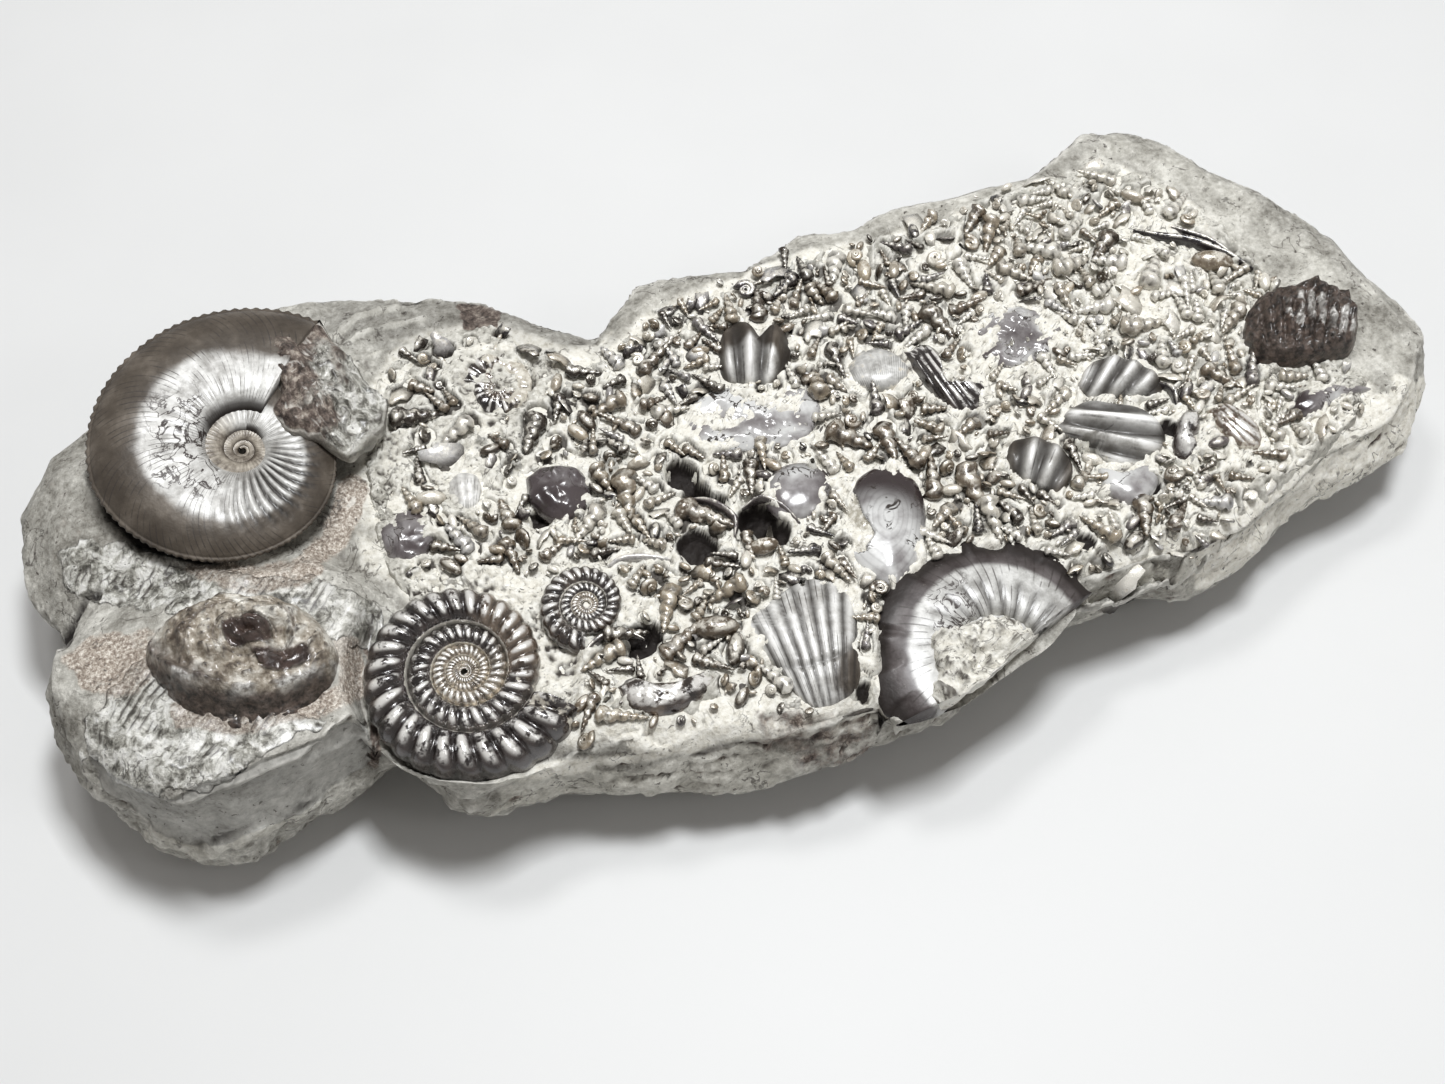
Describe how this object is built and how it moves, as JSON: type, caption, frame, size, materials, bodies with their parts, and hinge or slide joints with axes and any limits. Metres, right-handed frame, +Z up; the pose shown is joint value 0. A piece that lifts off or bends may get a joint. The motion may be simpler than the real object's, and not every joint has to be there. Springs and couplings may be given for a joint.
{
  "type": "ammonite cluster plate",
  "caption": "Long slab of pale fossil limestone crowded with tiny snail shells, with large smooth and ribbed ammonites set in it, lying flat on its underside.",
  "frame": {"origin": "centre of the object's footprint, on the surface that the flat foot rests on", "axes": "+X along the slab, from the two lobes to the bare end; +Z up; +Y towards the back edge"},
  "size_m": [0.2476, 0.1142, 0.0453],
  "materials": {
    "stone": "rough broken limestone",
    "silver_shell": "glossy silvery calcite shell",
    "dark_shell": "glossy dark brown calcite shell",
    "brown_shell": "worn brown calcite shell",
    "grey_shell": "smooth grey calcite shell",
    "bronze_snail": "glossy bronze calcite snail shells",
    "pale_snail": "cream calcite snail shells"
  },
  "bodies": {
    "root": {"stone_matrix": "stone", "big_smooth_ammonite": "silver_shell", "worn_brown_ammonite": "brown_shell", "ribbed_ammonite": "dark_shell", "small_ribbed_ammonite": "dark_shell", "half_ammonite": "silver_shell", "edge_on_ammonite": "brown_shell", "old_faint_ammonite": "stone", "ribbed_piece_back": "dark_shell", "ribbed_piece_middle": "dark_shell", "ribbed_piece_right": "dark_shell", "ribbed_piece_small": "dark_shell", "body_chamber_piece": "silver_shell", "smooth_oval_shell": "grey_shell", "pale_valve": "grey_shell", "purple_valve": "grey_shell", "dark_valve": "grey_shell", "long_shell_edge": "dark_shell"}
  },
  "joints": []
}
